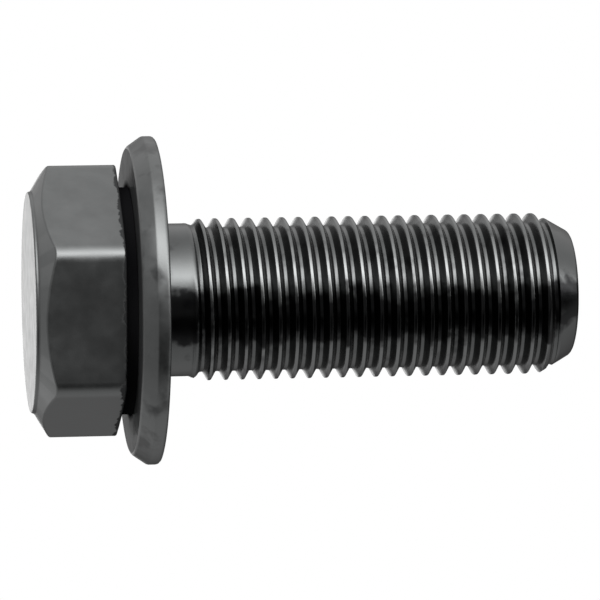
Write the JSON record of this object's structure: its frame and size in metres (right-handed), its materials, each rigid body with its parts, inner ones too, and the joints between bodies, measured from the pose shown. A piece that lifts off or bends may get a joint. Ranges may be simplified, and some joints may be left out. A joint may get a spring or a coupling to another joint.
{
  "type": "flange bolt",
  "caption": "Hexagon flange bolt, M12 x 1.25 by 31 mm, with a relief groove under the hexagon; clamps a joint without a separate washer.",
  "frame": {"origin": "centre of the head's top face, on which the bolt stands", "axes": "+Z along the bolt's axis from the head to the thread's tip, +Y square to one flat of the hexagon, +X towards a corner"},
  "size_m": [0.0242, 0.0242, 0.0404],
  "materials": {
    "black_oxide_steel": "black oxide conversion coating, oiled, semi-gloss"
  },
  "bodies": {
    "root": {"flange_bolt": "black_oxide_steel"}
  },
  "joints": []
}
